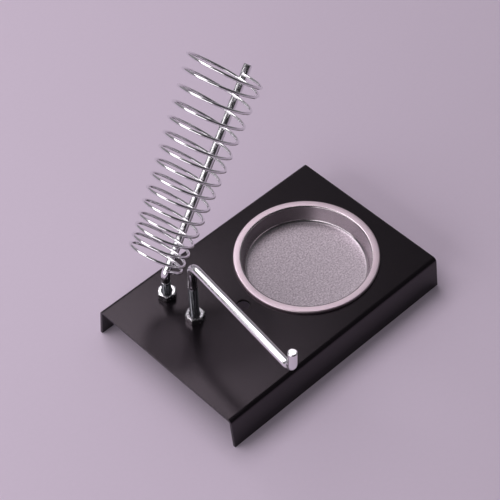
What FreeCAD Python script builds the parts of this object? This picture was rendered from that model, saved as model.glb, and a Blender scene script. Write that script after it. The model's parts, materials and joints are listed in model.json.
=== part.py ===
import FreeCAD, Part
import math
import os
import Sketcher

# Soldering iron stand: a folded sheet plate that carries a round sponge tray, a slanted
# rod with a conical wire holder for the hot iron, and a bent rod arm that an iron rests on.
# Frame: +X along the plate's long side, from the posts towards the tray, +Z up, floor at
# Z = 0. The origin is on the floor under the middle of the whole stand. Millimetres.

DIMENSIONS = (
    # base plate: a channel folded down along both long sides and open at both ends
    ("plate_length", 115.0, "along X"),
    ("plate_width", 76.0, "along Y, between the two folds"),
    ("plate_height", 15.0, "floor to the top of the deck"),
    ("plate_centre_y", 3.0, "the middle of the plate, seen from the origin"),
    ("plate_gauge", 1.2, "sheet thickness"),
    ("flange_flare", 1.8, "how far each flange leans out by the time it meets the floor"),
    ("bend_inside", 0.8, "inside radius of the two folds"),
    ("spare_hole_x", -14.9, "spare screw hole on the plate's centre line"),
    ("spare_hole_bore", 5.5, "its diameter"),
    ("edge_break", 0.25, "rounding of the cut edges of the deck"),
    # sponge tray: a pressed round dish whose rim sits on the deck
    ("tray_x", 20.7, "tray centre"),
    ("tray_rim_diameter", 60.0, "outside of the rim"),
    ("tray_rim_width", 3.3, "rim, from its outer edge to the lip"),
    ("tray_rim_rise", 1.4, "rim top above the deck"),
    ("tray_depth", 7.8, "rim top to the floor of the dish"),
    ("tray_draft", 1.2, "how much smaller the floor's radius is than the lip's"),
    ("tray_gauge", 0.5, "sheet thickness"),
    ("tray_lip_round", 0.9, "rounding of the lip and of the rim's outer edge"),
    ("tray_floor_round", 1.6, "inside rounding where the wall meets the floor"),
    ("tray_clearance", 0.5, "radial room between the dish and its hole in the deck"),
    # the two M4 rods
    ("post_x", -33.2, "both posts"),
    ("rod_bore", 3.6, "plain rod diameter"),
    ("thread_rise", 0.15, "how far the rolled M4 thread stands out from the plain rod"),
    ("thread_clearance", 0.08, "radial room of a rod in its hole in the deck"),
    ("rod_tail", 1.6, "thread standing out under the lower nut"),
    ("rod_end_chamfer", 0.35, "at both ends of each rod"),
    # the slanted rod of the holder
    ("holder_y", 25.0, "holder post, from the plate's centre line"),
    ("holder_heading", 13.0, "degrees from +X towards +Y that the slanted rod points"),
    ("holder_lean", 44.5, "degrees from the vertical"),
    ("holder_bend_z", 28.0, "where the upright and the slanted centre lines meet"),
    ("holder_bend_radius", 4.2, "centre line"),
    ("holder_reach", 89.0, "slanted centre line, from that meeting point to the tip"),
    ("holder_thread_top", 24.0, "top of the thread"),
    # the conical coil on the slanted rod
    ("wire_bore", 1.2, "wire diameter"),
    ("coil_mouth_radius", 15.4, "wire centre line, at the wide upper end"),
    ("coil_toe_radius", 11.2, "wire centre line, at the narrow lower end"),
    ("coil_mouth_at", 85.0, "upper wire end, along the slanted rod"),
    ("coil_sink", 0.05, "how far the welded wire sinks into the rod"),
    ("coil_skew", -0.10, "sideways lean of the turns, as a slope"),
    ("closed_turns", 0.7, "flat turns that finish the upper end"),
    ("closed_pitch", 0.3, "their pitch"),
    ("wide_turns", 2.3, "turns next to the upper end"),
    ("wide_pitch", 6.7, "their pitch"),
    ("open_turns", 2.5, "turns below those"),
    ("open_pitch", 6.15, "their pitch"),
    ("middle_turns", 6.1, "turns along the middle"),
    ("middle_pitch", 5.5, "their pitch"),
    ("tight_turns", 3.0, "turns next to the lower end"),
    ("tight_pitch", 4.2, "their pitch"),
    ("toe_turns", 0.75, "turns that finish the lower end"),
    ("toe_pitch", 2.0, "their pitch"),
    # the bent arm
    ("arm_y", 8.4, "arm post, from the plate's centre line"),
    ("arm_heading", -96.9, "degrees from +X that the level part of the arm points"),
    ("arm_z", 47.45, "centre line of the level part"),
    ("arm_reach", 63.1, "post centre line to the upturned end's centre line"),
    ("arm_stub_rise", 10.5, "top of the upturned end above the level centre line"),
    ("arm_bend_radius", 4.2, "centre line, both bends"),
    ("arm_thread_top", 34.7, "top of the thread"),
    # M4 hexagon nuts
    ("nut_flats", 7.0, "across the flats"),
    ("nut_thickness", 3.2, "thickness"),
    ("nut_corner_drop", 0.35, "height of the chamfer that takes the corners off"),
    ("nut_countersink", 0.4, "chamfer of the bore"),
    ("holder_nut_turn", 46.0, "degrees from +X to a corner of the holder's nuts"),
    ("arm_nut_turn", 30.0, "degrees from +X to a corner of the arm's nuts"),
)

DIM = "Dimensions."
THREAD_RADIUS = f"{DIM}rod_bore / 2 + {DIM}thread_rise"
STEPS_PER_TURN = 12
POINT = {"start": 1, "end": 2, "centre": 3}
ROOT, X_AXIS, Y_AXIS = (-1, 1), -1, -2

doc = FreeCAD.newDocument("soldering_iron_stand")
sheet = doc.addObject("Spreadsheet::Sheet", "Dimensions")
for row, (alias, number, meaning) in enumerate(DIMENSIONS, start=1):
    sheet.set(f"A{row}", alias)
    sheet.set(f"B{row}", str(number))
    sheet.setAlias(f"B{row}", alias)
    sheet.set(f"C{row}", meaning)
doc.recompute()


def dim(alias):
    """A driving dimension, read from the sheet."""
    return float(sheet.get(alias))


def new_body(label, x=None, y=None, z=None, turn=None):
    """A body whose Placement follows the sheet; each argument is an expression or None."""
    body = doc.addObject("PartDesign::Body", label)
    body.Label = label
    for path, expression in (("Base.x", x), ("Base.y", y), ("Base.z", z), ("Rotation.Angle", turn)):
        if expression:
            body.setExpression(f"Placement.{path}", expression)
    return body


def new_sketch(body, name, plane):
    """An empty sketch on one of the body's own origin planes."""
    sketch = body.newObject("Sketcher::SketchObject", name)
    support = next(f for f in body.Origin.OriginFeatures if f.Role == plane)
    sketch.AttachmentSupport = (support, [""])
    sketch.MapMode = "FlatFace"
    return sketch


def constrain(sketch, kind, *where, to=None, value=None):
    """Add one constraint; `to` is the sheet expression that drives it."""
    if to is None:
        sketch.addConstraint(Sketcher.Constraint(kind, *where))
        return
    index = sketch.addConstraint(Sketcher.Constraint(kind, *where, value))
    sketch.setExpression(f"Constraints[{index}]", to)


def polygon(sketch, points):
    """A closed run of joined lines, returned as their numbers."""
    vectors = [FreeCAD.Vector(x, y, 0) for x, y in points]
    pairs = zip(vectors, vectors[1:] + vectors[:1])
    lines = [sketch.addGeometry(Part.LineSegment(a, b)) for a, b in pairs]
    for line, following in zip(lines, lines[1:] + lines[:1]):
        constrain(sketch, "Coincident", line, POINT["end"], following, POINT["start"])
    return lines


def place_point(sketch, line, x, y):
    """Drive the start of a line by two (expression, value) pairs from the sketch origin."""
    for kind, (expression, value) in (("DistanceX", x), ("DistanceY", y)):
        if expression is None:
            axis = Y_AXIS if kind == "DistanceX" else X_AXIS
            constrain(sketch, "PointOnObject", line, POINT["start"], axis)
        else:
            constrain(sketch, kind, *ROOT, line, POINT["start"], to=expression, value=value)


def driven_polygon(sketch, corners):
    """A closed outline whose corners are (x expression, y expression); None is zero."""
    values = []
    for x, y in corners:
        values.append(tuple(evaluate(e) for e in (x, y)))
    lines = polygon(sketch, values)
    for line, (x, y), (x_value, y_value) in zip(lines, corners, values):
        place_point(sketch, line, (x, x_value), (y, y_value))
    return lines


def evaluate(expression):
    """The number that a sheet expression gives; None is zero."""
    if expression is None:
        return 0.0
    number = sheet.evalExpression(expression.replace(DIM, ""))
    return float(getattr(number, "Value", number))


def edges_where(shape, test):
    """Names of the edges whose middle point passes the test."""
    names = []
    for number, edge in enumerate(shape.Edges, start=1):
        middle = edge.valueAt((edge.FirstParameter + edge.LastParameter) / 2)
        if test(middle, edge):
            names.append(f"Edge{number}")
    return names


def dress(body, kind, name, size_name, expression, test):
    """Fillet or chamfer the edges of the body's tip that pass the test."""
    doc.recompute()
    base = body.Tip
    names = edges_where(base.Shape, test)
    if not names:
        raise RuntimeError(f"{name}: no edge found")
    feature = body.newObject(kind, name)
    feature.Base = (base, names)
    feature.setExpression(size_name, expression)
    doc.recompute()
    return feature


def near(a, b, slack=0.02):
    """Whether two lengths are equal for the purpose of picking edges."""
    return abs(a - b) < slack


# ---------------------------------------------------------------- base plate


def make_base_plate():
    """Channel profile, two folds, and the four holes in the deck."""
    body = new_body("base_plate", y=DIM + "plate_centre_y")
    half, height, gauge = DIM + "plate_width / 2", DIM + "plate_height", DIM + "plate_gauge"
    foot = half + " + " + DIM + "flange_flare"
    slant = f"sqrt({height} ^ 2 + {DIM}flange_flare ^ 2) / {height}"
    inner_foot = f"{foot} - {gauge} * {slant}"
    inner_top = f"{half} + {DIM}flange_flare * {gauge} / {height} - {gauge} * {slant}"
    under = f"{height} - {gauge}"
    profile = new_sketch(body, "channel_profile", "YZ_Plane")
    right = [(foot, None), (half, height)]
    right_inside = [(inner_top, under), (inner_foot, None)]
    left = [(f"-({x})", y) for x, y in reversed(right)]
    left_inside = [(f"-({x})", y) for x, y in reversed(right_inside)]
    driven_polygon(profile, right + left + left_inside + right_inside)
    pad = body.newObject("PartDesign::Pad", "channel")
    pad.Profile = profile
    pad.SideType = "Symmetric"
    pad.setExpression("Length", DIM + "plate_length")

    top, half_width, wall = dim("plate_height"), dim("plate_width") / 2, dim("plate_gauge")

    def is_outer_fold(middle, edge):
        return near(middle.z, top) and near(abs(middle.y), half_width)

    def is_inner_fold(middle, edge):
        runs_along = near(edge.Length, dim("plate_length"))
        return runs_along and near(middle.z, top - wall)

    dress(body, "PartDesign::Fillet", "outer_folds", "Radius",
          f"{DIM}bend_inside + {gauge}", is_outer_fold)
    dress(body, "PartDesign::Fillet", "inner_folds", "Radius", DIM + "bend_inside", is_inner_fold)

    holes = new_sketch(body, "deck_holes", "XY_Plane")
    tray_outside = f"{DIM}tray_rim_diameter / 2 - {DIM}tray_rim_width + {DIM}tray_gauge"
    tray_hole = f"{tray_outside} + {DIM}tray_clearance"
    rod_hole = f"{THREAD_RADIUS} + {DIM}thread_clearance"
    spare_hole = DIM + "spare_hole_bore / 2"
    for x, y, radius in (
        (DIM + "tray_x", None, tray_hole),
        (DIM + "spare_hole_x", None, spare_hole),
        (DIM + "post_x", DIM + "holder_y", rod_hole),
        (DIM + "post_x", DIM + "arm_y", rod_hole),
    ):
        centre = FreeCAD.Vector(evaluate(x), evaluate(y), 0)
        circle = holes.addGeometry(Part.Circle(centre, FreeCAD.Vector(0, 0, 1), evaluate(radius)))
        constrain(holes, "Radius", circle, to=radius, value=evaluate(radius))
        middle = circle, POINT["centre"]
        constrain(holes, "DistanceX", *ROOT, *middle, to=x, value=evaluate(x))
        if y is None:
            constrain(holes, "PointOnObject", *middle, X_AXIS)
        else:
            constrain(holes, "DistanceY", *ROOT, *middle, to=y, value=evaluate(y))
    doc.recompute()
    uncut = body.Shape.Volume
    pocket = body.newObject("PartDesign::Pocket", "deck_hole_cut")
    pocket.Profile = holes
    pocket.Type = "ThroughAll"
    pocket.Reversed = True
    doc.recompute()
    if body.Shape.Volume > uncut - 1.0:
        raise RuntimeError("the deck's holes cut nothing")

    def is_deck_cut(middle, edge):
        across = near(edge.Length, 2 * half_width - 2 * (dim("bend_inside") + wall), 1.0)
        at_end = near(abs(middle.x), dim("plate_length") / 2)
        return at_end and across and middle.z > top - 0.01

    dress(body, "PartDesign::Fillet", "deck_end_edges", "Radius", DIM + "edge_break", is_deck_cut)
    return body


# --------------------------------------------------------------- sponge tray


def make_sponge_tray():
    """One pressed sheet: flat floor, tapered wall, rolled lip and a turned-down rim."""
    centre_x, centre_y, deck = DIM + "tray_x", DIM + "plate_centre_y", DIM + "plate_height"
    body = new_body("sponge_tray", x=centre_x, y=centre_y, z=deck)
    gauge = DIM + "tray_gauge"
    rim = DIM + "tray_rim_diameter / 2"
    lip = f"{rim} - {DIM}tray_rim_width"
    floor = f"{lip} - {DIM}tray_draft"
    rise = DIM + "tray_rim_rise"
    bed = f"{rise} - {DIM}tray_depth"
    section = new_sketch(body, "tray_section", "XZ_Plane")
    driven_polygon(section, [
        (None, f"{bed} - {gauge}"),
        (f"{floor} + {gauge}", f"{bed} - {gauge}"),
        (f"{lip} + {gauge}", f"{rise} - {gauge}"),
        (f"{rim} - {gauge}", f"{rise} - {gauge}"),
        (f"{rim} - {gauge}", None),
        (rim, None),
        (rim, rise),
        (lip, rise),
        (floor, bed),
        (None, bed),
    ])
    dish = body.newObject("PartDesign::Revolution", "dish")
    dish.Profile = section
    dish.ReferenceAxis = (section, ["V_Axis"])
    dish.Angle = 360.0

    def ring(radius, height):
        def is_ring(middle, edge):
            return near(math.hypot(middle.x, middle.y), radius) and near(middle.z, height)
        return is_ring

    lip_at, rim_at = evaluate(lip), evaluate(rim)
    floor_at, bed_at = evaluate(floor), evaluate(bed)
    rise_at, wall = dim("tray_rim_rise"), dim("tray_gauge")
    outside, inside = DIM + "tray_lip_round", f"{DIM}tray_lip_round - {gauge}"
    for name, size, place in (
        ("rim_edge", outside, ring(rim_at, rise_at)),
        ("lip_edge", outside, ring(lip_at, rise_at)),
        ("rim_inside", inside, ring(rim_at - wall, rise_at - wall)),
        ("lip_inside", inside, ring(lip_at + wall, rise_at - wall)),
        ("floor_corner", DIM + "tray_floor_round", ring(floor_at, bed_at)),
        ("floor_underside", f"{DIM}tray_floor_round + {gauge}", ring(floor_at + wall, bed_at - wall)),
    ):
        dress(body, "PartDesign::Fillet", name, "Radius", size, place)
    return body


# ---------------------------------------------------------------------- rods

NUT_UNDER_DECK = f"{DIM}plate_height - {DIM}plate_gauge - {DIM}nut_thickness"
ROD_FOOT = f"{NUT_UNDER_DECK} - {DIM}rod_tail"


def add_line(sketch, a, b):
    """A straight line between two points of a sketch, by its number."""
    return sketch.addGeometry(Part.LineSegment(FreeCAD.Vector(*a, 0), FreeCAD.Vector(*b, 0)))


def add_bend(sketch, before, corner, after, radius):
    """The arc that rounds a corner, with the points where it leaves and joins the lines."""
    corner = FreeCAD.Vector(*corner, 0)
    back = (FreeCAD.Vector(*before, 0) - corner).normalize()
    forth = (FreeCAD.Vector(*after, 0) - corner).normalize()
    half_angle = back.getAngle(forth) / 2
    start = corner + back * (radius / math.tan(half_angle))
    end = corner + forth * (radius / math.tan(half_angle))
    centre = corner + (back + forth).normalize() * (radius / math.sin(half_angle))
    middle = centre + (corner - centre).normalize() * radius
    arc = sketch.addGeometry(Part.Arc(start, middle, end))
    return arc, start, end


def join(sketch, line, arc, line_end):
    """Tangent joint between a line's end and whichever arc end lies on it."""
    at = sketch.getPoint(line, POINT[line_end])
    starts = (sketch.getPoint(arc, POINT["start"]) - at).Length < 1e-6
    arc_end = POINT["start"] if starts else POINT["end"]
    constrain(sketch, "Tangent", line, POINT[line_end], arc, arc_end)


def holder_path(sketch):
    """Upright, one bend, and the slanted rod; returns the tip."""
    foot, bend_z = evaluate(ROD_FOOT), dim("holder_bend_z")
    lean, reach = math.radians(dim("holder_lean")), dim("holder_reach")
    tip = (reach * math.sin(lean), bend_z + reach * math.cos(lean))
    radius = dim("holder_bend_radius")
    arc, start, end = add_bend(sketch, (0, foot), (0, bend_z), tip, radius)
    upright = add_line(sketch, (0, foot), (start.x, start.y))
    slanted = add_line(sketch, (end.x, end.y), tip)
    corner = sketch.addGeometry(Part.Point(FreeCAD.Vector(0, bend_z, 0)), True)
    join(sketch, upright, arc, "end")
    join(sketch, slanted, arc, "start")
    constrain(sketch, "PointOnObject", upright, POINT["start"], Y_AXIS)
    constrain(sketch, "Vertical", upright)
    constrain(sketch, "DistanceY", *ROOT, upright, POINT["start"], to=ROD_FOOT, value=foot)
    constrain(sketch, "PointOnObject", corner, POINT["start"], Y_AXIS)
    constrain(sketch, "DistanceY", *ROOT, corner, POINT["start"],
              to=DIM + "holder_bend_z", value=bend_z)
    constrain(sketch, "PointOnObject", corner, POINT["start"], slanted)
    constrain(sketch, "Radius", arc, to=DIM + "holder_bend_radius", value=radius)
    constrain(sketch, "DistanceX", corner, POINT["start"], slanted, POINT["end"],
              to=f"{DIM}holder_reach * sin({DIM}holder_lean * 1 deg)", value=tip[0])
    constrain(sketch, "DistanceY", corner, POINT["start"], slanted, POINT["end"],
              to=f"{DIM}holder_reach * cos({DIM}holder_lean * 1 deg)", value=tip[1] - bend_z)
    return tip


def arm_path(sketch):
    """Upright, bend, level arm, bend, and the short upturned end; returns the tip."""
    foot, level = evaluate(ROD_FOOT), dim("arm_z")
    reach, radius = dim("arm_reach"), dim("arm_bend_radius")
    top = level + dim("arm_stub_rise")
    first, leave, arrive = add_bend(sketch, (0, foot), (0, level), (reach, level), radius)
    second, turn_up, rise = add_bend(sketch, (0, level), (reach, level), (reach, top), radius)
    upright = add_line(sketch, (0, foot), (leave.x, leave.y))
    arm = add_line(sketch, (arrive.x, arrive.y), (turn_up.x, turn_up.y))
    stub = add_line(sketch, (rise.x, rise.y), (reach, top))
    join(sketch, upright, first, "end")
    join(sketch, arm, first, "start")
    join(sketch, arm, second, "end")
    join(sketch, stub, second, "start")
    constrain(sketch, "PointOnObject", upright, POINT["start"], Y_AXIS)
    constrain(sketch, "Vertical", upright)
    constrain(sketch, "Horizontal", arm)
    constrain(sketch, "Vertical", stub)
    constrain(sketch, "DistanceY", *ROOT, upright, POINT["start"], to=ROD_FOOT, value=foot)
    constrain(sketch, "DistanceY", *ROOT, arm, POINT["start"], to=DIM + "arm_z", value=level)
    constrain(sketch, "DistanceX", *ROOT, stub, POINT["end"], to=DIM + "arm_reach", value=reach)
    constrain(sketch, "DistanceY", *ROOT, stub, POINT["end"],
              to=f"{DIM}arm_z + {DIM}arm_stub_rise", value=top)
    for arc in (first, second):
        constrain(sketch, "Radius", arc, to=DIM + "arm_bend_radius", value=radius)
    return reach, top


def draw_circle(sketch, radius):
    """A circle on the sketch's origin whose radius follows an expression."""
    at = evaluate(radius)
    circle = sketch.addGeometry(Part.Circle(FreeCAD.Vector(), FreeCAD.Vector(0, 0, 1), at))
    constrain(sketch, "Coincident", circle, POINT["centre"], *ROOT)
    constrain(sketch, "Radius", circle, to=radius, value=at)


def make_rod(label, y, heading, draw_path, thread_top):
    """A rod swept along its path, with the thicker rolled thread on its lower length."""
    centre_y = f"{DIM}plate_centre_y + {y}"
    body = new_body(label, x=DIM + "post_x", y=centre_y, turn=f"{heading} * 1 deg")
    path = new_sketch(body, label + "_path", "XZ_Plane")
    tip_x, tip_z = draw_path(path)
    foot, tip = FreeCAD.Vector(0, 0, evaluate(ROD_FOOT)), FreeCAD.Vector(tip_x, 0, tip_z)
    section = new_sketch(body, label + "_section", "XY_Plane")
    draw_circle(section, DIM + "rod_bore / 2")
    section.setExpression("AttachmentOffset.Base.z", ROD_FOOT)
    doc.recompute()
    pipe = body.newObject("PartDesign::AdditivePipe", label + "_pipe")
    pipe.Profile = section
    pipe.Spine = (path, [f"Edge{n + 1}" for n in range(len(path.Shape.Edges))])
    doc.recompute()

    plain = body.Shape.Volume
    ring = new_sketch(body, label + "_thread_section", "XY_Plane")
    draw_circle(ring, THREAD_RADIUS)
    ring.setExpression("AttachmentOffset.Base.z", ROD_FOOT)
    thread = body.newObject("PartDesign::Pad", label + "_thread")
    thread.Profile = ring
    thread.setExpression("Length", f"{thread_top} - ({ROD_FOOT})")
    doc.recompute()
    if body.Shape.Volume < plain + 0.5:
        raise RuntimeError(label + ": the thread added nothing")

    def is_end_rim(middle, edge):
        if not edge.Closed or edge.Curve.TypeId != "Part::GeomCircle":
            return False
        return any((edge.Curve.Center - end).Length < 0.01 for end in (foot, tip))

    dress(body, "PartDesign::Chamfer", label + "_ends", "Size", DIM + "rod_end_chamfer", is_end_rim)
    return body


# ---------------------------------------------------------------------- coil


def coil_drop(turns):
    """Distance down the slanted rod after a number of turns from the upper wire end."""
    drop = 0.0
    for length, pitch in (
        (dim("closed_turns"), dim("closed_pitch")),
        (dim("wide_turns"), dim("wide_pitch")),
        (dim("open_turns"), dim("open_pitch")),
        (dim("middle_turns"), dim("middle_pitch")),
        (dim("tight_turns"), dim("tight_pitch")),
        (dim("toe_turns"), dim("toe_pitch")),
    ):
        part = min(turns, length)
        drop += part * pitch
        turns -= part
    return drop


def coil_points():
    """Wire centre line: a right-handed cone whose turns all touch the top of the rod."""
    lean, heading = math.radians(dim("holder_lean")), math.radians(dim("holder_heading"))
    level = FreeCAD.Vector(math.cos(heading), math.sin(heading), 0)
    up = FreeCAD.Vector(0, 0, 1)
    along = level * math.sin(lean) + up * math.cos(lean)
    above = up * math.sin(lean) - level * math.cos(lean)
    across = along.cross(above)
    bend = FreeCAD.Vector(dim("post_x"), dim("plate_centre_y") + dim("holder_y"), dim("holder_bend_z"))
    seat = dim("rod_bore") / 2 + dim("wire_bore") / 2 - dim("coil_sink")
    stretches = ("closed", "wide", "open", "middle", "tight", "toe")
    turns = sum(dim(name + "_turns") for name in stretches)
    total = coil_drop(turns)
    points = []
    for step in range(round(turns * STEPS_PER_TURN) + 1):
        done = step / STEPS_PER_TURN
        blur = (coil_drop(max(done - 0.25, 0.0)) + coil_drop(min(done + 0.25, turns))) / 2
        share = blur / total
        radius = dim("coil_mouth_radius") * (1 - share) + dim("coil_toe_radius") * share
        angle = 2 * math.pi * done
        distance = dim("coil_mouth_at") - blur + dim("coil_skew") * radius * math.sin(angle)
        out = seat + radius - radius * math.cos(angle)
        points.append(bend + along * distance + above * out + across * (radius * math.sin(angle)))
    return points


def make_holder_coil():
    """Round wire swept along the coil's centre line."""
    points = coil_points()
    line = Part.BSplineCurve()
    line.interpolate(points)
    spine = Part.Wire(line.toShape())
    tangent = line.tangent(line.FirstParameter)[0]
    ring = Part.Wire(Part.Circle(points[0], tangent, dim("wire_bore") / 2).toShape())
    solid = spine.makePipeShell([ring], True, True)
    coil = doc.addObject("Part::Feature", "holder_coil")
    coil.Label = "holder_coil"
    coil.Shape = solid
    section = math.pi * (dim("wire_bore") / 2) ** 2
    if not near(solid.Volume / (section * spine.Length), 1.0):
        raise RuntimeError("the coil's volume does not match its wire")
    return coil


# ---------------------------------------------------------------------- nuts


def make_nut(label, y, z, turn):
    """Hexagon nut with both faces chamfered and both ends of the bore countersunk."""
    centre_y = f"{DIM}plate_centre_y + {y}"
    body = new_body(label, x=DIM + "post_x", y=centre_y, z=z, turn=f"{turn} * 1 deg")
    outline = new_sketch(body, label + "_hexagon", "XY_Plane")
    corner = dim("nut_flats") / math.sqrt(3)
    angles = [math.radians(60 * n) for n in range(6)]
    corners = [(corner * math.cos(angle), corner * math.sin(angle)) for angle in angles]
    sides = polygon(outline, corners)
    around = Part.Circle(FreeCAD.Vector(), FreeCAD.Vector(0, 0, 1), corner)
    circle = outline.addGeometry(around, True)
    constrain(outline, "Coincident", circle, POINT["centre"], *ROOT)
    constrain(outline, "Radius", circle, to=DIM + "nut_flats / sqrt(3)", value=corner)
    for side in sides:
        constrain(outline, "PointOnObject", side, POINT["start"], circle)
    for side in sides[1:]:
        constrain(outline, "Equal", sides[0], side)
    constrain(outline, "PointOnObject", sides[0], POINT["start"], X_AXIS)
    pad = body.newObject("PartDesign::Pad", label + "_blank")
    pad.Profile = outline
    pad.setExpression("Length", DIM + "nut_thickness")

    thick, drop, sink = DIM + "nut_thickness", DIM + "nut_corner_drop", DIM + "nut_countersink"
    flats, tip = DIM + "nut_flats / 2", DIM + "nut_flats / sqrt(3)"
    bore = THREAD_RADIUS
    clear = DIM + "nut_flats"
    run = f"({clear} - {flats}) / ({tip} - {flats}) * {drop}"
    turned = new_sketch(body, label + "_turning", "XZ_Plane")
    for outline_points in (
        [(flats, thick), (clear, f"{thick} - {run}"), (clear, thick)],
        [(flats, None), (clear, None), (clear, run)],
        [(None, None), (f"{bore} + {sink}", None), (bore, sink), (bore, f"{thick} - {sink}"),
         (f"{bore} + {sink}", thick), (None, thick)],
    ):
        driven_polygon(turned, outline_points)
    doc.recompute()
    blank = body.Shape.Volume
    groove = body.newObject("PartDesign::Groove", label + "_turned")
    groove.Profile = turned
    groove.ReferenceAxis = (turned, ["V_Axis"])
    groove.Angle = 360.0
    doc.recompute()
    if body.Shape.Volume > blank - 10.0:
        raise RuntimeError(label + ": the bore was not cut")
    return body


# --------------------------------------------------------------------- build

NUT_ON_DECK = DIM + "plate_height"
HOLDER_Y, ARM_Y = DIM + "holder_y", DIM + "arm_y"
HOLDER_TURN, ARM_TURN = DIM + "holder_nut_turn", DIM + "arm_nut_turn"
HOLDER_HEADING, ARM_HEADING = DIM + "holder_heading", DIM + "arm_heading"
parts = [
    make_base_plate(),
    make_sponge_tray(),
    make_rod("holder_post", HOLDER_Y, HOLDER_HEADING, holder_path, DIM + "holder_thread_top"),
    make_holder_coil(),
    make_nut("holder_top_nut", HOLDER_Y, NUT_ON_DECK, HOLDER_TURN),
    make_nut("holder_bottom_nut", HOLDER_Y, NUT_UNDER_DECK, HOLDER_TURN),
    make_rod("rest_arm", ARM_Y, ARM_HEADING, arm_path, DIM + "arm_thread_top"),
    make_nut("arm_top_nut", ARM_Y, NUT_ON_DECK, ARM_TURN),
    make_nut("arm_bottom_nut", ARM_Y, NUT_UNDER_DECK, ARM_TURN),
]
doc.recompute()

for thing in doc.Objects:
    if "Invalid" in thing.State or "Error" in thing.State:
        raise RuntimeError(f"{thing.Name} failed: {thing.State}")
for part in parts:
    if part.Shape.isNull() or not part.Shape.isValid():
        raise RuntimeError(f"{part.Label} has no valid shape")
    if len(part.Shape.Solids) != 1:
        raise RuntimeError(f"{part.Label} is not one solid")

os.makedirs("parts", exist_ok=True)
for part in parts:
    part.Shape.exportStep(os.path.join("parts", part.Label + ".step"))
    box = part.Shape.BoundBox
    print(f"{part.Label}: X {box.XMin:.2f}..{box.XMax:.2f}  Y {box.YMin:.2f}..{box.YMax:.2f}  "
          f"Z {box.ZMin:.2f}..{box.ZMax:.2f}  volume {part.Shape.Volume:.1f}")
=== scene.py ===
"""Soldering iron stand: folded black plate, sponge tray, wire holder on a slanted rod, rest arm.

Everything is in metres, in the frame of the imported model: +X from the posts to the tray,
+Z up, floor at Z = 0. Places come from the frame; shapes repeat the part's driving sizes.
"""
import json
import math

import bmesh
import bpy
from mathutils import Matrix, Vector


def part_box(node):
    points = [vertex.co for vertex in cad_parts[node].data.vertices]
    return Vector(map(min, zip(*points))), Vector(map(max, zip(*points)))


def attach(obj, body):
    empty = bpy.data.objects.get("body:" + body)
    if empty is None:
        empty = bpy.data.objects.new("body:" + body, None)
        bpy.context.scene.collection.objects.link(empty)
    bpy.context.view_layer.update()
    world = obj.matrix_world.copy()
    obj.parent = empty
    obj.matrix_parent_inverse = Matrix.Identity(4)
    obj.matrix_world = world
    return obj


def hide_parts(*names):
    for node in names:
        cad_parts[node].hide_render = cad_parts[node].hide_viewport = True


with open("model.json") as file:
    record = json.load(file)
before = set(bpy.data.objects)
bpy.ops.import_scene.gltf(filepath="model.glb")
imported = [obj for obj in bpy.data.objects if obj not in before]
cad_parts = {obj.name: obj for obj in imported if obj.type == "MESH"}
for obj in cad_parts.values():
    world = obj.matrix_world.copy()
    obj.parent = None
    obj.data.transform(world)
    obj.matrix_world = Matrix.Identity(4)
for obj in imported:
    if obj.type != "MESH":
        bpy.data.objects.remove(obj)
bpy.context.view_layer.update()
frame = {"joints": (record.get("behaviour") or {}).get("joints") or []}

MM = 0.001
TURN = 2 * math.pi
UP = Vector((0, 0, 1))
SAME_POINT = 0.0001 * MM

# ------------------------------------------------------------------ sizes

PLATE_GAUGE = 1.2 * MM
PLATE_FLARE = 1.8 * MM
BEND_INSIDE = 0.8 * MM
SPARE_HOLE = Vector((-14.9 * MM, 0, 0))
SPARE_HOLE_RADIUS = 2.75 * MM
EDGE_BREAK = 0.16 * MM

TRAY_GAUGE = 0.5 * MM
TRAY_RIM_WIDTH = 3.3 * MM
TRAY_DRAFT = 1.2 * MM
TRAY_CLEARANCE = 0.5 * MM
TRAY_FLOOR_BEND = 1.6 * MM
TRAY_LIP_BEND = 0.65 * MM
TRAY_RIM_BEND = 0.50 * MM
TRAY_UNDER_BEND = 0.45 * MM
TRAY_EDGE_BREAK = 0.12 * MM

ROD_RADIUS = 1.8 * MM
THREAD_RADIUS = 1.95 * MM
THREAD_ROOT = 1.53 * MM
THREAD_PITCH = 0.7 * MM
THREAD_CREST = 0.14
THREAD_FLANK = 0.72
THREAD_CLEARANCE = 0.08 * MM
ROD_TAIL = 1.6 * MM
ROD_END_CHAMFER = 0.35 * MM
ROD_END_ZONE = 0.4 * MM

HOLDER_HEADING = math.radians(13.0)
HOLDER_LEAN = math.radians(44.5)
HOLDER_BEND_Z = 28.0 * MM
HOLDER_BEND_RADIUS = 4.2 * MM
HOLDER_REACH = 89.0 * MM
HOLDER_THREAD_TOP = 24.0 * MM

ARM_HEADING = math.radians(-96.9)
ARM_Z = 47.45 * MM
ARM_REACH = 63.1 * MM
ARM_STUB_RISE = 10.5 * MM
ARM_BEND_RADIUS = 4.2 * MM
ARM_THREAD_TOP = 34.7 * MM

WIRE_RADIUS = 0.6 * MM
COIL_MOUTH_RADIUS = 15.4 * MM
COIL_TOE_RADIUS = 11.2 * MM
COIL_MOUTH_AT = 85.0 * MM
COIL_SINK = 0.05 * MM
WIRE_END_DOME = 0.14 * MM
WIRE_END_SHARE = 0.72
COIL_SKEW = -0.10
COIL_STRETCHES = (
    (0.7, 0.3 * MM), (2.3, 6.7 * MM), (2.5, 6.15 * MM), (6.1, 5.5 * MM), (3.0, 4.2 * MM), (0.75, 2.0 * MM))

NUT_FLATS = 7.0 * MM
NUT_THICKNESS = 3.2 * MM
NUT_COUNTERSINK = 0.4 * MM
NUT_CHAMFER = math.radians(30)
NUT_FACE_SHARE = 0.955
NUT_EDGE_BREAK = 0.07 * MM
HOLDER_NUT_TURN = math.radians(46)
ARM_NUT_TURN = math.radians(30)

# ------------------------------------------------------------- mesh tools


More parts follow.
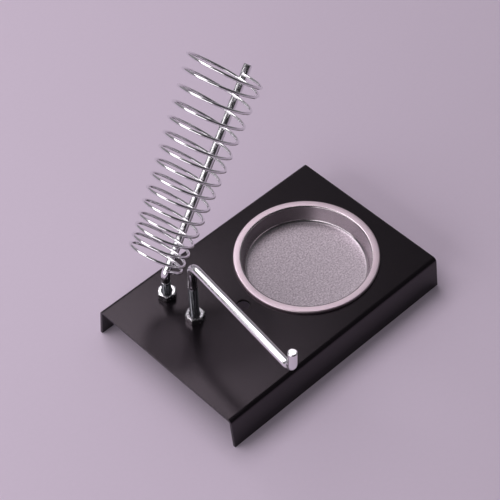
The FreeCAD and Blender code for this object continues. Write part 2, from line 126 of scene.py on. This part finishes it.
def new_object(name, verts, faces, sharp_above=None):
    """A smooth-shaded mesh object, with edges sharper than the angle kept sharp."""
    mesh = bpy.data.meshes.new(name)
    mesh.from_pydata([tuple(v) for v in verts], [], faces)
    mesh.validate()
    work = bmesh.new()
    work.from_mesh(mesh)
    bmesh.ops.recalc_face_normals(work, faces=work.faces)
    work.to_mesh(mesh)
    work.free()
    mesh.shade_smooth()
    if sharp_above is not None:
        mesh.set_sharp_from_angle(angle=sharp_above)
    piece = bpy.data.objects.new(name, mesh)
    bpy.context.scene.collection.objects.link(piece)
    return piece


def loft(rings, close_ends=True):
    """Vertices and faces that join rings of equal size, with flat faces over both ends."""
    count = len(rings[0])
    verts = [v for ring in rings for v in ring]
    faces = []
    for level in range(len(rings) - 1):
        low, high = level * count, (level + 1) * count
        for k in range(count):
            following = (k + 1) % count
            faces.append((low + k, low + following, high + following, high + k))
    if close_ends:
        faces.append(tuple(range(count)))
        faces.append(tuple(range((len(rings) - 1) * count, len(rings) * count)))
    return verts, faces


def rounded(corners, steps=8):
    """A closed outline of (x, y, radius) corners with each corner rounded by an arc."""
    outline = []
    for k, (x, y, radius) in enumerate(corners):
        corner = Vector((x, y))
        before = Vector(corners[k - 1][:2]) - corner
        after = Vector(corners[(k + 1) % len(corners)][:2]) - corner
        if radius <= 0:
            outline.append(corner)
            continue
        before.normalize()
        after.normalize()
        half = before.angle(after) / 2
        centre = corner + (before + after).normalized() * (radius / math.sin(half))
        start = corner + before * (radius / math.tan(half)) - centre
        sweep = start.angle_signed(corner + after * (radius / math.tan(half)) - centre)
        for step in range(steps + 1):
            angle = -sweep * step / steps
            outline.append(centre + Matrix.Rotation(angle, 2) @ start)
    return outline


def merge_points(piece):
    """Join points that lie on each other, and face every side outwards."""
    work = bmesh.new()
    work.from_mesh(piece.data)
    bmesh.ops.remove_doubles(work, verts=work.verts, dist=SAME_POINT)
    bmesh.ops.recalc_face_normals(work, faces=work.faces)
    work.to_mesh(piece.data)
    work.free()


def lathe(name, outline, centre, segments):
    """A ring-shaped solid: a closed (radius, z) outline turned round a vertical axis."""
    verts, faces = [], []
    count = len(outline)
    for k in range(segments):
        angle = TURN * k / segments
        for radius, z in outline:
            verts.append(centre + Vector((radius * math.cos(angle), radius * math.sin(angle), z)))
        low, high = k * count, ((k + 1) % segments) * count
        for j in range(count):
            following = (j + 1) % count
            faces.append((low + j, low + following, high + following, high + j))
    piece = new_object(name, verts, faces)
    merge_points(piece)
    piece.data.shade_smooth()
    return piece


def finish_piece(piece, body, nodes, material):
    """Give a visible piece its body, the CAD nodes it replaces and its finish."""
    piece.data.materials.clear()
    piece.data.materials.append(material)
    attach(piece, body)
    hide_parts(*nodes)


# --------------------------------------------------------------- materials


class Shader:
    """A principled material and short calls for the nodes that feed it."""

    def __init__(self, name, **sockets):
        self.material = bpy.data.materials.new(name)
        self.material.use_nodes = True
        self.tree = self.material.node_tree
        self.principled = self.tree.nodes["Principled BSDF"]
        for socket, value in sockets.items():
            self.principled.inputs[socket.replace("_", " ")].default_value = value
        self.place = self.node("ShaderNodeTexCoord").outputs["Object"]

    def node(self, kind, links=None, **settings):
        made = self.tree.nodes.new(kind)
        for key, value in settings.items():
            setattr(made, key, value)
        for key, value in (links or {}).items():
            if isinstance(value, bpy.types.NodeSocket):
                self.tree.links.new(value, made.inputs[key])
            else:
                made.inputs[key].default_value = value
        return made

    def stretched(self, scale):
        """Object coordinates scaled per axis."""
        mapping = self.node("ShaderNodeMapping", {"Vector": self.place, "Scale": scale})
        return mapping.outputs["Vector"]

    def noise(self, scale, detail=3.0, roughness=0.5, where=None):
        links = {"Vector": where or self.place, "Scale": scale, "Detail": detail, "Roughness": roughness}
        return self.node("ShaderNodeTexNoise", links).outputs["Fac"]

    def remap(self, value, low, high, from_low=0.0, from_high=1.0):
        links = {"Value": value, "From Min": from_low, "From Max": from_high, "To Min": low, "To Max": high}
        return self.node("ShaderNodeMapRange", links).outputs["Result"]

    def blend(self, factor, first, second):
        mix = self.node("ShaderNodeMix", {"Factor": factor}, data_type="RGBA")
        for socket, colour in (("A_Color", first), ("B_Color", second)):
            target = next(i for i in mix.inputs if i.identifier == socket)
            if isinstance(colour, bpy.types.NodeSocket):
                self.tree.links.new(colour, target)
            else:
                target.default_value = (*colour, 1.0)
        return next(o for o in mix.outputs if o.identifier == "Result_Color")

    def bump(self, height, strength, distance, under=None):
        links = {"Height": height, "Strength": strength, "Distance": distance}
        if under is not None:
            links["Normal"] = under
        return self.node("ShaderNodeBump", links).outputs["Normal"]

    def reach(self, centre):
        """Distance from an upright axis."""
        flat = self.node("ShaderNodeVectorMath", {0: self.place, 1: (1, 1, 0)}, operation="MULTIPLY")
        ends = {0: flat.outputs["Vector"], 1: (centre.x, centre.y, 0)}
        return self.node("ShaderNodeVectorMath", ends, operation="DISTANCE").outputs["Value"]

    def add(self, first, second):
        return self.node("ShaderNodeMath", {0: first, 1: second}, operation="ADD").outputs[0]

    def feed(self, socket, value):
        self.tree.links.new(value, self.principled.inputs[socket])


def black_powder_coat():
    """Satin black powder coat: orange peel, a finer pebble, and faint dusty clouding."""
    tint = (1.0, 0.84, 0.96, 1.0)
    shader = Shader("black_powder_coat", Specular_IOR_Level=0.42, Specular_Tint=tint)
    clouds = shader.noise(70.0, 4.0, 0.6)
    shader.feed("Base Color", shader.blend(clouds, (0.0034, 0.0026, 0.0036), (0.0062, 0.0048, 0.0060)))
    speckle = shader.noise(2600.0, 2.0)
    shader.feed("Roughness", shader.remap(speckle, 0.19, 0.27, 0.3, 0.7))
    peel = shader.bump(shader.noise(620.0, 3.0, 0.55), 0.55, 0.03 * MM)
    shader.feed("Normal", shader.bump(speckle, 0.25, 0.008 * MM, peel))
    return shader.material


def pressed_tray_metal(centre, floor_radius, lip_radius):
    """Pressed steel: sandblasted dish floor, a smooth wall darkened with painted shade, and a satin rim
    brightened and warmed with a painted sheen.
    """
    shader = Shader("pressed_tray_metal", Metallic=1.0)
    reach = shader.reach(centre)
    wall = shader.remap(reach, 0.0, 1.0, floor_radius - 1.2 * MM, floor_radius - 0.2 * MM)
    rim = shader.remap(reach, 0.0, 1.0, lip_radius + 0.3 * MM, lip_radius + 0.9 * MM)
    grain = shader.noise(1500.0, 3.0, 0.75)
    clouds = shader.noise(95.0, 3.0, 0.55)
    speck = shader.remap(grain, 0.0, 1.0, 0.36, 0.64)
    blasted = shader.blend(speck, (0.36, 0.31, 0.35), (0.74, 0.67, 0.72))
    # Painted shade: the drawn wall's colour is darker than the rest of the same sheet.
    shaded_wall_tone = shader.blend(clouds, (0.50, 0.45, 0.48), (0.57, 0.52, 0.55))
    # Painted sheen: the rim's colour is brighter and warmer than the rest of the same sheet.
    sheen_rim_tone = shader.blend(clouds, (0.80, 0.66, 0.73), (0.87, 0.72, 0.79))
    shader.feed("Base Color", shader.blend(rim, shader.blend(wall, blasted, shaded_wall_tone), sheen_rim_tone))
    bright = shader.remap(wall, 0.50, 0.20)
    shader.feed("Roughness", shader.add(bright, shader.remap(rim, 0.0, 0.20)))
    shader.feed("Normal", shader.bump(grain, 0.35, 0.03 * MM))
    return shader.material


def bright_plating(name, roughness, streaks, post=None, thread_top=0.0):
    """Bright nickel or zinc plating with fine drawn streaks; thread grooves are darkened with painted
    shade.
    """
    shader = Shader(name, Metallic=1.0)
    cloud = shader.noise(180.0, 3.0, 0.5)
    plated = shader.blend(cloud, (0.80, 0.80, 0.82), (0.90, 0.89, 0.90))
    drawn = shader.noise(900.0, 3.0, 0.6, shader.stretched(streaks))
    gloss = shader.remap(drawn, roughness * 0.7, roughness * 1.5, 0.3, 0.7)
    if post is not None:
        # Painted shade: below the thread top, the thread grooves are blended towards near black.
        height = shader.node("ShaderNodeSeparateXYZ", {"Vector": shader.place}).outputs["Z"]
        threaded = shader.remap(height, 1.0, 0.0, thread_top - 0.4 * MM, thread_top + 0.2 * MM)
        groove = shader.remap(shader.reach(post), 0.95, 0.80, THREAD_ROOT, THREAD_RADIUS)
        groove_shade = shader.node("ShaderNodeMath", {0: threaded, 1: groove}, operation="MULTIPLY").outputs[0]
        plated = shader.blend(groove_shade, plated, (0.045, 0.050, 0.065))
    shader.feed("Base Color", plated)
    shader.feed("Roughness", gloss)
    shader.feed("Normal", shader.bump(drawn, 0.12, 0.006 * MM))
    return shader.material


def floor_paper():
    """Matt pale mauve paper."""
    shader = Shader("floor_paper", Roughness=0.9, Specular_IOR_Level=0.15)
    fibre = shader.noise(600.0, 2.0)
    shader.feed("Base Color", shader.blend(fibre, (0.790, 0.683, 0.818), (0.813, 0.703, 0.841)))
    return shader.material


# ------------------------------------------------------------- base plate


def cut(piece, centre, radius, depth, segments):
    """Take a vertical round hole out of a mesh piece, a depth above and below its centre."""
    ring = [Vector((radius * math.cos(TURN * k / segments), radius * math.sin(TURN * k / segments), 0))
            for k in range(segments)]
    rings = [[centre + p + UP * z for p in ring] for z in (-depth, depth)]
    cutter = new_object("cutter", *loft(rings))
    modifier = piece.modifiers.new("hole", "BOOLEAN")
    modifier.operation = "DIFFERENCE"
    modifier.solver = "EXACT"
    modifier.object = cutter
    apply_modifiers(piece)
    bpy.data.objects.remove(cutter)


def apply_modifiers(piece):
    """Replace the mesh by what its modifiers make of it."""
    bpy.context.view_layer.update()
    shown = piece.evaluated_get(bpy.context.evaluated_depsgraph_get())
    mesh = bpy.data.meshes.new_from_object(shown)
    piece.modifiers.clear()
    piece.data = mesh


def soften(piece, width, segments, above):
    """Small rounds on every edge sharper than the angle, with flat faces kept flat."""
    bevel = piece.modifiers.new("edge_rounds", "BEVEL")
    bevel.width = width
    bevel.segments = segments
    bevel.limit_method = "ANGLE"
    bevel.angle_limit = above
    bevel.harden_normals = True
    apply_modifiers(piece)


def build_plate():
    """Sheet channel with two rounded folds, four holes and broken edges."""
    low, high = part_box("base_plate")
    centre_y = (low.y + high.y) / 2
    half, top = (high.y - low.y) / 2 - PLATE_FLARE, PLATE_TOP
    slant = math.hypot(top, PLATE_FLARE) / top
    inner_foot = half + PLATE_FLARE - PLATE_GAUGE * slant
    inner_top = half + PLATE_FLARE * PLATE_GAUGE / top - PLATE_GAUGE * slant
    outer_bend = BEND_INSIDE + PLATE_GAUGE
    right = [(half + PLATE_FLARE, 0, 0), (half, top, outer_bend)]
    inside = [(inner_top, top - PLATE_GAUGE, BEND_INSIDE), (inner_foot, 0, 0)]
    corners = right + [(-x, y, r) for x, y, r in reversed(right)]
    corners += [(-x, y, r) for x, y, r in reversed(inside)] + inside
    outline = rounded(corners, steps=10)
    rings = [[Vector((x, centre_y + p.x, p.y)) for p in outline] for x in (low.x, high.x)]
    plate = new_object("plate_sheet", *loft(rings))
    tray_low, tray_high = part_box("sponge_tray")
    tray_hole = (tray_high.x - tray_low.x) / 2 - TRAY_RIM_WIDTH + TRAY_GAUGE + TRAY_CLEARANCE
    tray_middle = (tray_low + tray_high) / 2
    deck = UP * (top - PLATE_GAUGE / 2)
    depth = PLATE_GAUGE
    rod_hole = THREAD_RADIUS + THREAD_CLEARANCE
    cut(plate, Vector((tray_middle.x, tray_middle.y, deck.z)), tray_hole, depth, 160)
    cut(plate, Vector((SPARE_HOLE.x, centre_y, deck.z)), SPARE_HOLE_RADIUS, depth, 56)
    for post in (HOLDER_POST, ARM_POST):
        cut(plate, Vector((post.x, post.y, deck.z)), rod_hole, depth, 40)
    soften(plate, EDGE_BREAK, 3, math.radians(40))
    return plate


# ------------------------------------------------------------ sponge tray


def build_tray():
    """One pressed sheet: flat floor, drawn wall, rolled lip and a turned-down rim."""
    low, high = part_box("sponge_tray")
    centre = Vector(((low.x + high.x) / 2, (low.y + high.y) / 2, 0))
    rim = (high.x - low.x) / 2
    lip = rim - TRAY_RIM_WIDTH
    floor = lip - TRAY_DRAFT
    bed = low.z + TRAY_GAUGE
    rise = high.z
    outline = rounded([
        (0, bed - TRAY_GAUGE, 0),
        (floor + TRAY_GAUGE, bed - TRAY_GAUGE, TRAY_FLOOR_BEND + TRAY_GAUGE),
        (lip + TRAY_GAUGE, rise - TRAY_GAUGE, TRAY_UNDER_BEND),
        (rim - TRAY_GAUGE, rise - TRAY_GAUGE, TRAY_UNDER_BEND),
        (rim - TRAY_GAUGE, PLATE_TOP, TRAY_EDGE_BREAK),
        (rim, PLATE_TOP, TRAY_EDGE_BREAK),
        (rim, rise, TRAY_RIM_BEND),
        (lip, rise, TRAY_LIP_BEND),
        (floor, bed, TRAY_FLOOR_BEND),
        (0, bed, 0),
    ], steps=8)
    return lathe("tray_dish", outline, centre, 192)


# ------------------------------------------------------------------- rods


def bent_path(corners, radii, coarse):
    """Points along straight runs joined by arcs, as (point, distance) pairs."""
    points = [corners[0]]
    for k, radius in enumerate(radii, start=1):
        corner = corners[k]
        back = (corners[k - 1] - corner).normalized()
        forth = (corners[k + 1] - corner).normalized()
        half = back.angle(forth) / 2
        centre = corner + (back + forth).normalized() * (radius / math.sin(half))
        start = corner + back * (radius / math.tan(half)) - centre
        turn = math.pi - 2 * half
        axis = back.cross(forth).normalized()
        steps = max(8, round(math.degrees(turn) / 4))
        for step in range(steps + 1):
            points.append(centre + Matrix.Rotation(-turn * step / steps, 3, axis) @ start)
    points.append(corners[-1])
    return fill_runs(points, coarse)


def fill_runs(points, spacing):
    """Add points so that no run is longer than the spacing; returns (point, distance)."""
    path, distance = [(points[0], 0.0)], 0.0
    for a, b in zip(points, points[1:]):
        length = (b - a).length
        parts = max(1, math.ceil(length / spacing))
        for part in range(1, parts + 1):
            path.append((a.lerp(b, part / parts), distance + length * part / parts))
        distance += length
    return path


def thread_radius(distance, angle, length):
    """Radius of an M4 thread at a distance along the rod, fading out at its upper end."""
    phase = (distance / THREAD_PITCH - angle / TURN) % 1.0
    ridge = min(1.0, max(0.0, (abs(2 * phase - 1) - THREAD_CREST) / THREAD_FLANK))
    fade = min(1.0, max(0.0, (length - distance) / (1.6 * THREAD_PITCH)))
    return THREAD_RADIUS - (THREAD_RADIUS - THREAD_ROOT) * ridge * fade


def build_rod(name, path, thread_length, side):
    """A rod swept along its path, threaded at its foot and chamfered at both ends."""
    total = path[-1][1]
    segments = 40
    rings = []
    for k, (point, distance) in enumerate(path):
        ahead = path[min(k + 1, len(path) - 1)][0] - path[max(k - 1, 0)][0]
        along = ahead.normalized()
        out = along.cross(side).normalized()
        edge = min(distance, total - distance)
        trim = max(0.0, ROD_END_CHAMFER - edge)
        ring = []
        for j in range(segments):
            angle = TURN * j / segments
            radius = ROD_RADIUS
            if distance < thread_length:
                radius = thread_radius(distance, angle, thread_length)
            radius = min(radius, (THREAD_RADIUS if distance < thread_length else ROD_RADIUS) - trim)
            ring.append(point + side * (radius * math.cos(angle)) + out * (radius * math.sin(angle)))
        rings.append(ring)
    return new_object(name, *loft(rings), sharp_above=math.radians(35))


def rod_corners(post, heading, flat_points):
    """Corners of a rod in its upright plane, given as (out, z) from its post."""
    level = Vector((math.cos(heading), math.sin(heading), 0))
    return [Vector((post.x, post.y, 0)) + level * out + UP * z for out, z in flat_points]


def denser(corners, radii, thread_length):
    """The rod's path, with close points over its thread and at both cut ends."""
    path = bent_path(corners, radii, 2.0 * MM)
    first = fill_runs([corners[0], corners[0] + UP * thread_length], THREAD_PITCH / 10)
    rest = [(p, d) for p, d in path if d > thread_length + 0.01 * MM]
    total = rest[-1][1]
    direction = (corners[-1] - corners[-2]).normalized()
    end = [(corners[-1] - direction * back, total - back)
           for back in (ROD_END_ZONE, ROD_END_CHAMFER, ROD_END_CHAMFER / 2)]
    body = [(p, d) for p, d in rest[:-1] if d < total - ROD_END_ZONE - 0.05 * MM]
    return first + body + end + [rest[-1]]


def build_holder_post():
    level = Vector((math.cos(HOLDER_HEADING), math.sin(HOLDER_HEADING), 0))
    tip = (HOLDER_REACH * math.sin(HOLDER_LEAN), HOLDER_BEND_Z + HOLDER_REACH * math.cos(HOLDER_LEAN))
    corners = rod_corners(HOLDER_POST, HOLDER_HEADING, [(0, ROD_FOOT), (0, HOLDER_BEND_Z), tip])
    path = denser(corners, [HOLDER_BEND_RADIUS], HOLDER_THREAD_TOP - ROD_FOOT)
    return build_rod("holder_rod", path, HOLDER_THREAD_TOP - ROD_FOOT, UP.cross(level))


def build_arm():
    level = Vector((math.cos(ARM_HEADING), math.sin(ARM_HEADING), 0))
    corners = rod_corners(ARM_POST, ARM_HEADING, [
        (0, ROD_FOOT), (0, ARM_Z), (ARM_REACH, ARM_Z), (ARM_REACH, ARM_Z + ARM_STUB_RISE)])
    path = denser(corners, [ARM_BEND_RADIUS] * 2, ARM_THREAD_TOP - ROD_FOOT)
    return build_rod("arm_rod", path, ARM_THREAD_TOP - ROD_FOOT, UP.cross(level))


# ------------------------------------------------------------------- coil


def coil_drop(turns):
    """Distance down the rod after a number of turns from the upper wire end."""
    drop = 0.0
    for length, pitch in COIL_STRETCHES:
        part = min(turns, length)
        drop += part * pitch
        turns -= part
    return drop


def coil_point(turns, total_turns):
    """A point of the wire's centre line, by the same formula as the part's."""
    level = Vector((math.cos(HOLDER_HEADING), math.sin(HOLDER_HEADING), 0))
    along = level * math.sin(HOLDER_LEAN) + UP * math.cos(HOLDER_LEAN)
    above = UP * math.sin(HOLDER_LEAN) - level * math.cos(HOLDER_LEAN)
    across = along.cross(above)
    bend = Vector((HOLDER_POST.x, HOLDER_POST.y, HOLDER_BEND_Z))
    early, late = max(turns - 0.25, 0.0), min(turns + 0.25, total_turns)
    drop = (coil_drop(early) + coil_drop(late)) / 2
    share = drop / coil_drop(total_turns)
    radius = COIL_MOUTH_RADIUS * (1 - share) + COIL_TOE_RADIUS * share
    angle = TURN * turns
    distance = COIL_MOUTH_AT - drop + COIL_SKEW * radius * math.sin(angle)
    seat = ROD_RADIUS + WIRE_RADIUS - COIL_SINK
    out = seat + radius - radius * math.cos(angle)
    return bend + along * distance + above * out + across * (radius * math.sin(angle))


def build_coil():
    """Round wire swept along the conical coil, with slightly domed cut ends."""
    total = sum(length for length, _ in COIL_STRETCHES)
    count = round(total * 90)
    centres = [coil_point(total * k / count, total) for k in range(count + 1)]
    segments = 16
    rings = []
    across = None
    for k, centre in enumerate(centres):
        along = (centres[min(k + 1, count)] - centres[max(k - 1, 0)]).normalized()
        across = along.orthogonal() if across is None else across - along * across.dot(along)
        across.normalize()
        out = along.cross(across)
        ring = []
        for j in range(segments):
            angle = TURN * j / segments
            ring.append(centre + (across * math.cos(angle) + out * math.sin(angle)) * WIRE_RADIUS)
        rings.append(ring)
    for end, inner in ((0, 1), (-1, -2)):
        middle = centres[end]
        outward = (middle - centres[inner]).normalized()
        cap = [middle + (p - middle) * WIRE_END_SHARE + outward * WIRE_END_DOME for p in rings[end]]
        rings.insert(0 if end == 0 else len(rings), cap)
    return new_object("coil_wire", *loft(rings), sharp_above=math.radians(60))


# ------------------------------------------------------------------- nuts


def build_nut(name, post, low_z, yaw):
    """Hexagon nut: 30 degree chamfers that scallop the flats, countersunk bore."""
    steps_per_flat = 12
    count = 6 * steps_per_flat
    face_radius = NUT_FLATS / 2 * NUT_FACE_SHARE
    rings = []

    def ring(radius_at, z_at):
        made = []
        for k in range(count):
            angle = TURN * k / count
            radius = radius_at(angle)
            spot = Vector((radius * math.cos(angle + yaw), radius * math.sin(angle + yaw), 0))
            made.append(Vector((post.x, post.y, low_z)) + spot + UP * z_at(radius))
        return made

    def hexagon(angle):
        return NUT_FLATS / 2 / math.cos((angle % (math.pi / 3)) - math.pi / 6)

    def slope(radius):
        return (radius - face_radius) * math.tan(NUT_CHAMFER)

    bore, sink = THREAD_RADIUS, THREAD_RADIUS + NUT_COUNTERSINK
    thick = NUT_THICKNESS
    for radius_at, z_at in (
        (lambda a: bore, lambda r: NUT_COUNTERSINK),
        (lambda a: sink, lambda r: 0.0),
        (lambda a: face_radius, lambda r: 0.0),
        (hexagon, slope),
        (hexagon, lambda r: thick / 2),
        (hexagon, lambda r: thick - slope(r)),
        (lambda a: face_radius, lambda r: thick),
        (lambda a: sink, lambda r: thick),
        (lambda a: bore, lambda r: thick - NUT_COUNTERSINK),
        (lambda a: bore, lambda r: NUT_COUNTERSINK),
    ):
        rings.append(ring(radius_at, z_at))
    nut = new_object(name, *loft(rings, close_ends=False))
    merge_points(nut)
    soften(nut, NUT_EDGE_BREAK, 2, math.radians(22))
    return nut


# ------------------------------------------------------------------ stage


def build_floor(material):
    side = 3.0
    work = bmesh.new()
    bmesh.ops.create_grid(work, x_segments=1, y_segments=1, size=side)
    mesh = bpy.data.meshes.new("floor")
    work.to_mesh(mesh)
    work.free()
    mesh.materials.append(material)
    floor = bpy.data.objects.new("floor", mesh)
    bpy.context.scene.collection.objects.link(floor)


def area_light(name, place, target, size, power, colour):
    """A soft rectangular light aimed at a point."""
    data = bpy.data.lights.new(name, "AREA")
    data.shape = "RECTANGLE"
    data.size, data.size_y = size
    data.energy = power
    data.color = colour
    light = bpy.data.objects.new(name, data)
    light.location = place
    light.rotation_euler = (Vector(target) - Vector(place)).to_track_quat("-Z", "Y").to_euler()
    bpy.context.scene.collection.objects.link(light)


def build_surround():
    """A dim studio that is darkest on the photographer's side."""
    world = bpy.data.worlds.new("studio")
    world.use_nodes = True
    tree = world.node_tree
    background = tree.nodes["Background"]
    background.inputs["Color"].default_value = (0.97, 0.95, 1.0, 1.0)
    place = tree.nodes.new("ShaderNodeTexCoord")
    towards = tree.nodes.new("ShaderNodeVectorMath")
    towards.operation = "DOT_PRODUCT"
    towards.inputs[1].default_value = (-0.50, -0.62, 0.60)
    tree.links.new(place.outputs["Generated"], towards.inputs[0])
    fade = tree.nodes.new("ShaderNodeMapRange")
    for socket, value in (("From Min", -0.4), ("From Max", 0.7), ("To Min", 0.26), ("To Max", 0.03)):
        fade.inputs[socket].default_value = value
    tree.links.new(towards.outputs["Value"], fade.inputs["Value"])
    tree.links.new(fade.outputs["Result"], background.inputs["Strength"])
    bpy.context.scene.world = world


def build_lights():
    """Two large soft panels: one high behind the object, one low on its left."""
    aim = (0.0, 0.0, 0.02)
    area_light("high_panel", (-0.10, 0.55, 0.97), aim, (1.15, 0.62), 6.4, (1.0, 0.94, 0.99))
    area_light("left_panel", (-1.05, 0.02, 0.42), aim, (1.5, 0.7), 6.8, (1.0, 0.97, 1.0))


def build_camera():
    """The photographer's view: a long lens from high on the front left."""
    place = Vector((-0.29614, -0.31126, 0.53303))
    target = Vector((-0.00179, 0.01229, 0.030))
    roll = math.radians(-1.97)
    data = bpy.data.cameras.new("view")
    data.sensor_width = 36.0
    data.lens = 120.55
    data.clip_start = 0.01
    camera = bpy.data.objects.new("view", data)
    aim = (target - place).to_track_quat("-Z", "Y").to_matrix()
    camera.matrix_world = Matrix.Translation(place) @ (aim @ Matrix.Rotation(roll, 3, "Z")).to_4x4()
    bpy.context.scene.collection.objects.link(camera)
    bpy.context.scene.camera = camera


# ------------------------------------------------------------------ build

JOINT_AT = {j["name"]: Vector(j["pos_m"]) for j in frame["joints"] if "pos_m" in j}
HOLDER_POST, ARM_POST = JOINT_AT["holder_swivel"], JOINT_AT["arm_swivel"]
PLATE_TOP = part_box("holder_top_nut")[0].z
ROD_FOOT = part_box("holder_bottom_nut")[0].z - ROD_TAIL

build_camera()
build_surround()
build_lights()
build_floor(floor_paper())

coat = black_powder_coat()
tray_low, tray_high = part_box("sponge_tray")
lip_radius = (tray_high.x - tray_low.x) / 2 - TRAY_RIM_WIDTH
tray_metal = pressed_tray_metal((tray_low + tray_high) / 2, lip_radius - TRAY_DRAFT, lip_radius)
drawn_down = (1.0, 1.0, 0.12)
holder_plating = bright_plating("holder_plating", 0.14, drawn_down, HOLDER_POST, HOLDER_THREAD_TOP)
arm_plating = bright_plating("arm_plating", 0.14, drawn_down, ARM_POST, ARM_THREAD_TOP)
wire_plating = bright_plating("wire_plating", 0.13, (1.0, 1.0, 1.0))
nut_plating = bright_plating("nut_plating", 0.20, (1.0, 1.0, 1.0))

finish_piece(build_plate(), "base", ["base_plate"], coat)
finish_piece(build_tray(), "tray", ["sponge_tray"], tray_metal)
finish_piece(build_holder_post(), "holder", ["holder_post"], holder_plating)
finish_piece(build_coil(), "holder", ["holder_coil"], wire_plating)
finish_piece(build_arm(), "arm", ["rest_arm"], arm_plating)
for node, body, post, yaw in (
    ("holder_top_nut", "holder", HOLDER_POST, HOLDER_NUT_TURN),
    ("holder_bottom_nut", "holder", HOLDER_POST, HOLDER_NUT_TURN),
    ("arm_top_nut", "arm", ARM_POST, ARM_NUT_TURN),
    ("arm_bottom_nut", "arm", ARM_POST, ARM_NUT_TURN),
):
    low_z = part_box(node)[0].z
    nut = build_nut(node.replace("_nut", "_hexagon"), post, low_z, yaw)
    finish_piece(nut, body, [node], nut_plating)

scene = bpy.context.scene
scene.view_settings.view_transform = "Standard"
